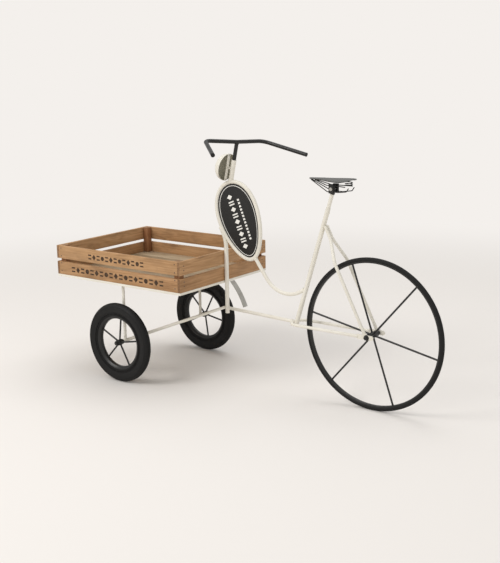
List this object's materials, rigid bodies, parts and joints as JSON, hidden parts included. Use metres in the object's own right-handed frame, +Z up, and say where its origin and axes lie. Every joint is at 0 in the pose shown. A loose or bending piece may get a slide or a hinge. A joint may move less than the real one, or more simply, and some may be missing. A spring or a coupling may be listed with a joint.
{
  "type": "front-loading display tricycle",
  "caption": "Old-style delivery tricycle for display: slatted wooden crate over two small front wheels, one large thin rear wheel, egg-shaped sign, swept handlebar, lamp and sprung saddle.",
  "frame": {"origin": "on the ground, in the middle of the tricycle's length and width", "axes": "+X towards the rear wheel (the tricycle travels along -X), +Y towards the rider's right, +Z up"},
  "size_m": [1.3722, 0.4976, 0.8205],
  "materials": {
    "cream_paint": "satin powder coat, off-white",
    "black_paint": "satin black",
    "tyre_rubber": "matte black rubber",
    "black_plastic": "matte black",
    "crate_wood": "clear-waxed light brown softwood",
    "grey_steel": "dull zinc grey",
    "sign_black": "satin black enamel",
    "sign_white": "satin white",
    "saddle_grey": "dark grey, smooth"
  },
  "bodies": {
    "frame": {"seat_tube": "cream_paint", "bottom_bar": "cream_paint", "down_tube": "cream_paint", "front_post": "cream_paint", "head_tube": "cream_paint", "chainstay_hoop": "cream_paint", "seat_stay_left": "cream_paint", "seat_stay_right": "cream_paint", "dropouts": "cream_paint", "rear_axle": "black_paint", "rear_axle_nuts": "black_paint", "rear_spacers": "black_paint", "axle_beam": "cream_paint", "stub_axles": "black_paint", "front_washers": "black_paint", "front_axle_nuts": "black_paint", "front_brace": "cream_paint", "struts": "cream_paint", "tray_side_rails": "cream_paint", "tray_end_rails": "cream_paint", "tray_crossbars": "cream_paint", "curved_strap": "grey_steel", "sign_hoop": "cream_paint", "sign_plate": "sign_black", "sign_lines": "sign_white", "lamp_bowl": "cream_paint", "lamp_bar": "cream_paint", "lamp_boss": "cream_paint", "slats_left": "crate_wood", "slats_right": "crate_wood", "slats_front": "crate_wood", "slats_rear": "crate_wood", "crate_posts": "crate_wood", "floor_boards": "crate_wood", "crate_nails": "grey_steel", "small_screws": "grey_steel", "grub_screws": "black_paint"},
    "seat_post": {"seat_post": "cream_paint", "clamp_core": "black_paint", "clamp_bolt": "black_paint"},
    "saddle": {"saddle_top": "saddle_grey", "saddle_rails": "black_paint", "saddle_spring": "black_paint", "clamp_plates": "black_paint"},
    "handlebar": {"handlebar": "black_paint", "handlebar_stem": "black_paint", "bar_end_caps": "black_plastic"},
    "rear_wheel": {"rear_tyre": "tyre_rubber", "rear_rim": "black_paint", "rear_spokes": "black_paint", "rear_hub": "black_paint"},
    "front_wheel_left": {"front_tyre_left": "tyre_rubber", "front_rim_left": "black_paint", "front_spokes_left": "black_paint", "front_hub_left": "black_paint"},
    "front_wheel_right": {"front_tyre_right": "tyre_rubber", "front_rim_right": "black_paint", "front_spokes_right": "black_paint", "front_hub_right": "black_paint"}
  },
  "joints": [
    {"name": "rear_wheel_spin", "type": "hinge", "parent": "frame", "child": "rear_wheel", "pos_m": [0.446, 0, 0.24], "axis": [0, 1, 0], "continuous": true},
    {"name": "front_left_wheel_spin", "type": "hinge", "parent": "frame", "child": "front_wheel_left", "pos_m": [-0.404, -0.228, 0.136], "axis": [0, 1, 0], "continuous": true},
    {"name": "front_right_wheel_spin", "type": "hinge", "parent": "frame", "child": "front_wheel_right", "pos_m": [-0.404, 0.228, 0.136], "axis": [0, 1, 0], "continuous": true},
    {"name": "handlebar_turn", "type": "hinge", "parent": "frame", "child": "handlebar", "pos_m": [-0.06213, 0, 0.80541], "axis": [0.2164, 0, 0.9763], "range_deg": [-42, 78]},
    {"name": "seat_post_height", "type": "slide", "parent": "frame", "child": "seat_post", "axis": [0.3007, 0, 0.9537], "range_m": [-0.03, 0.06]},
    {"name": "saddle_tilt", "type": "hinge", "parent": "seat_post", "child": "saddle", "pos_m": [0.30532, 0, 0.67871], "axis": [0, 1, 0], "range_deg": [-12, 12]}
  ]
}
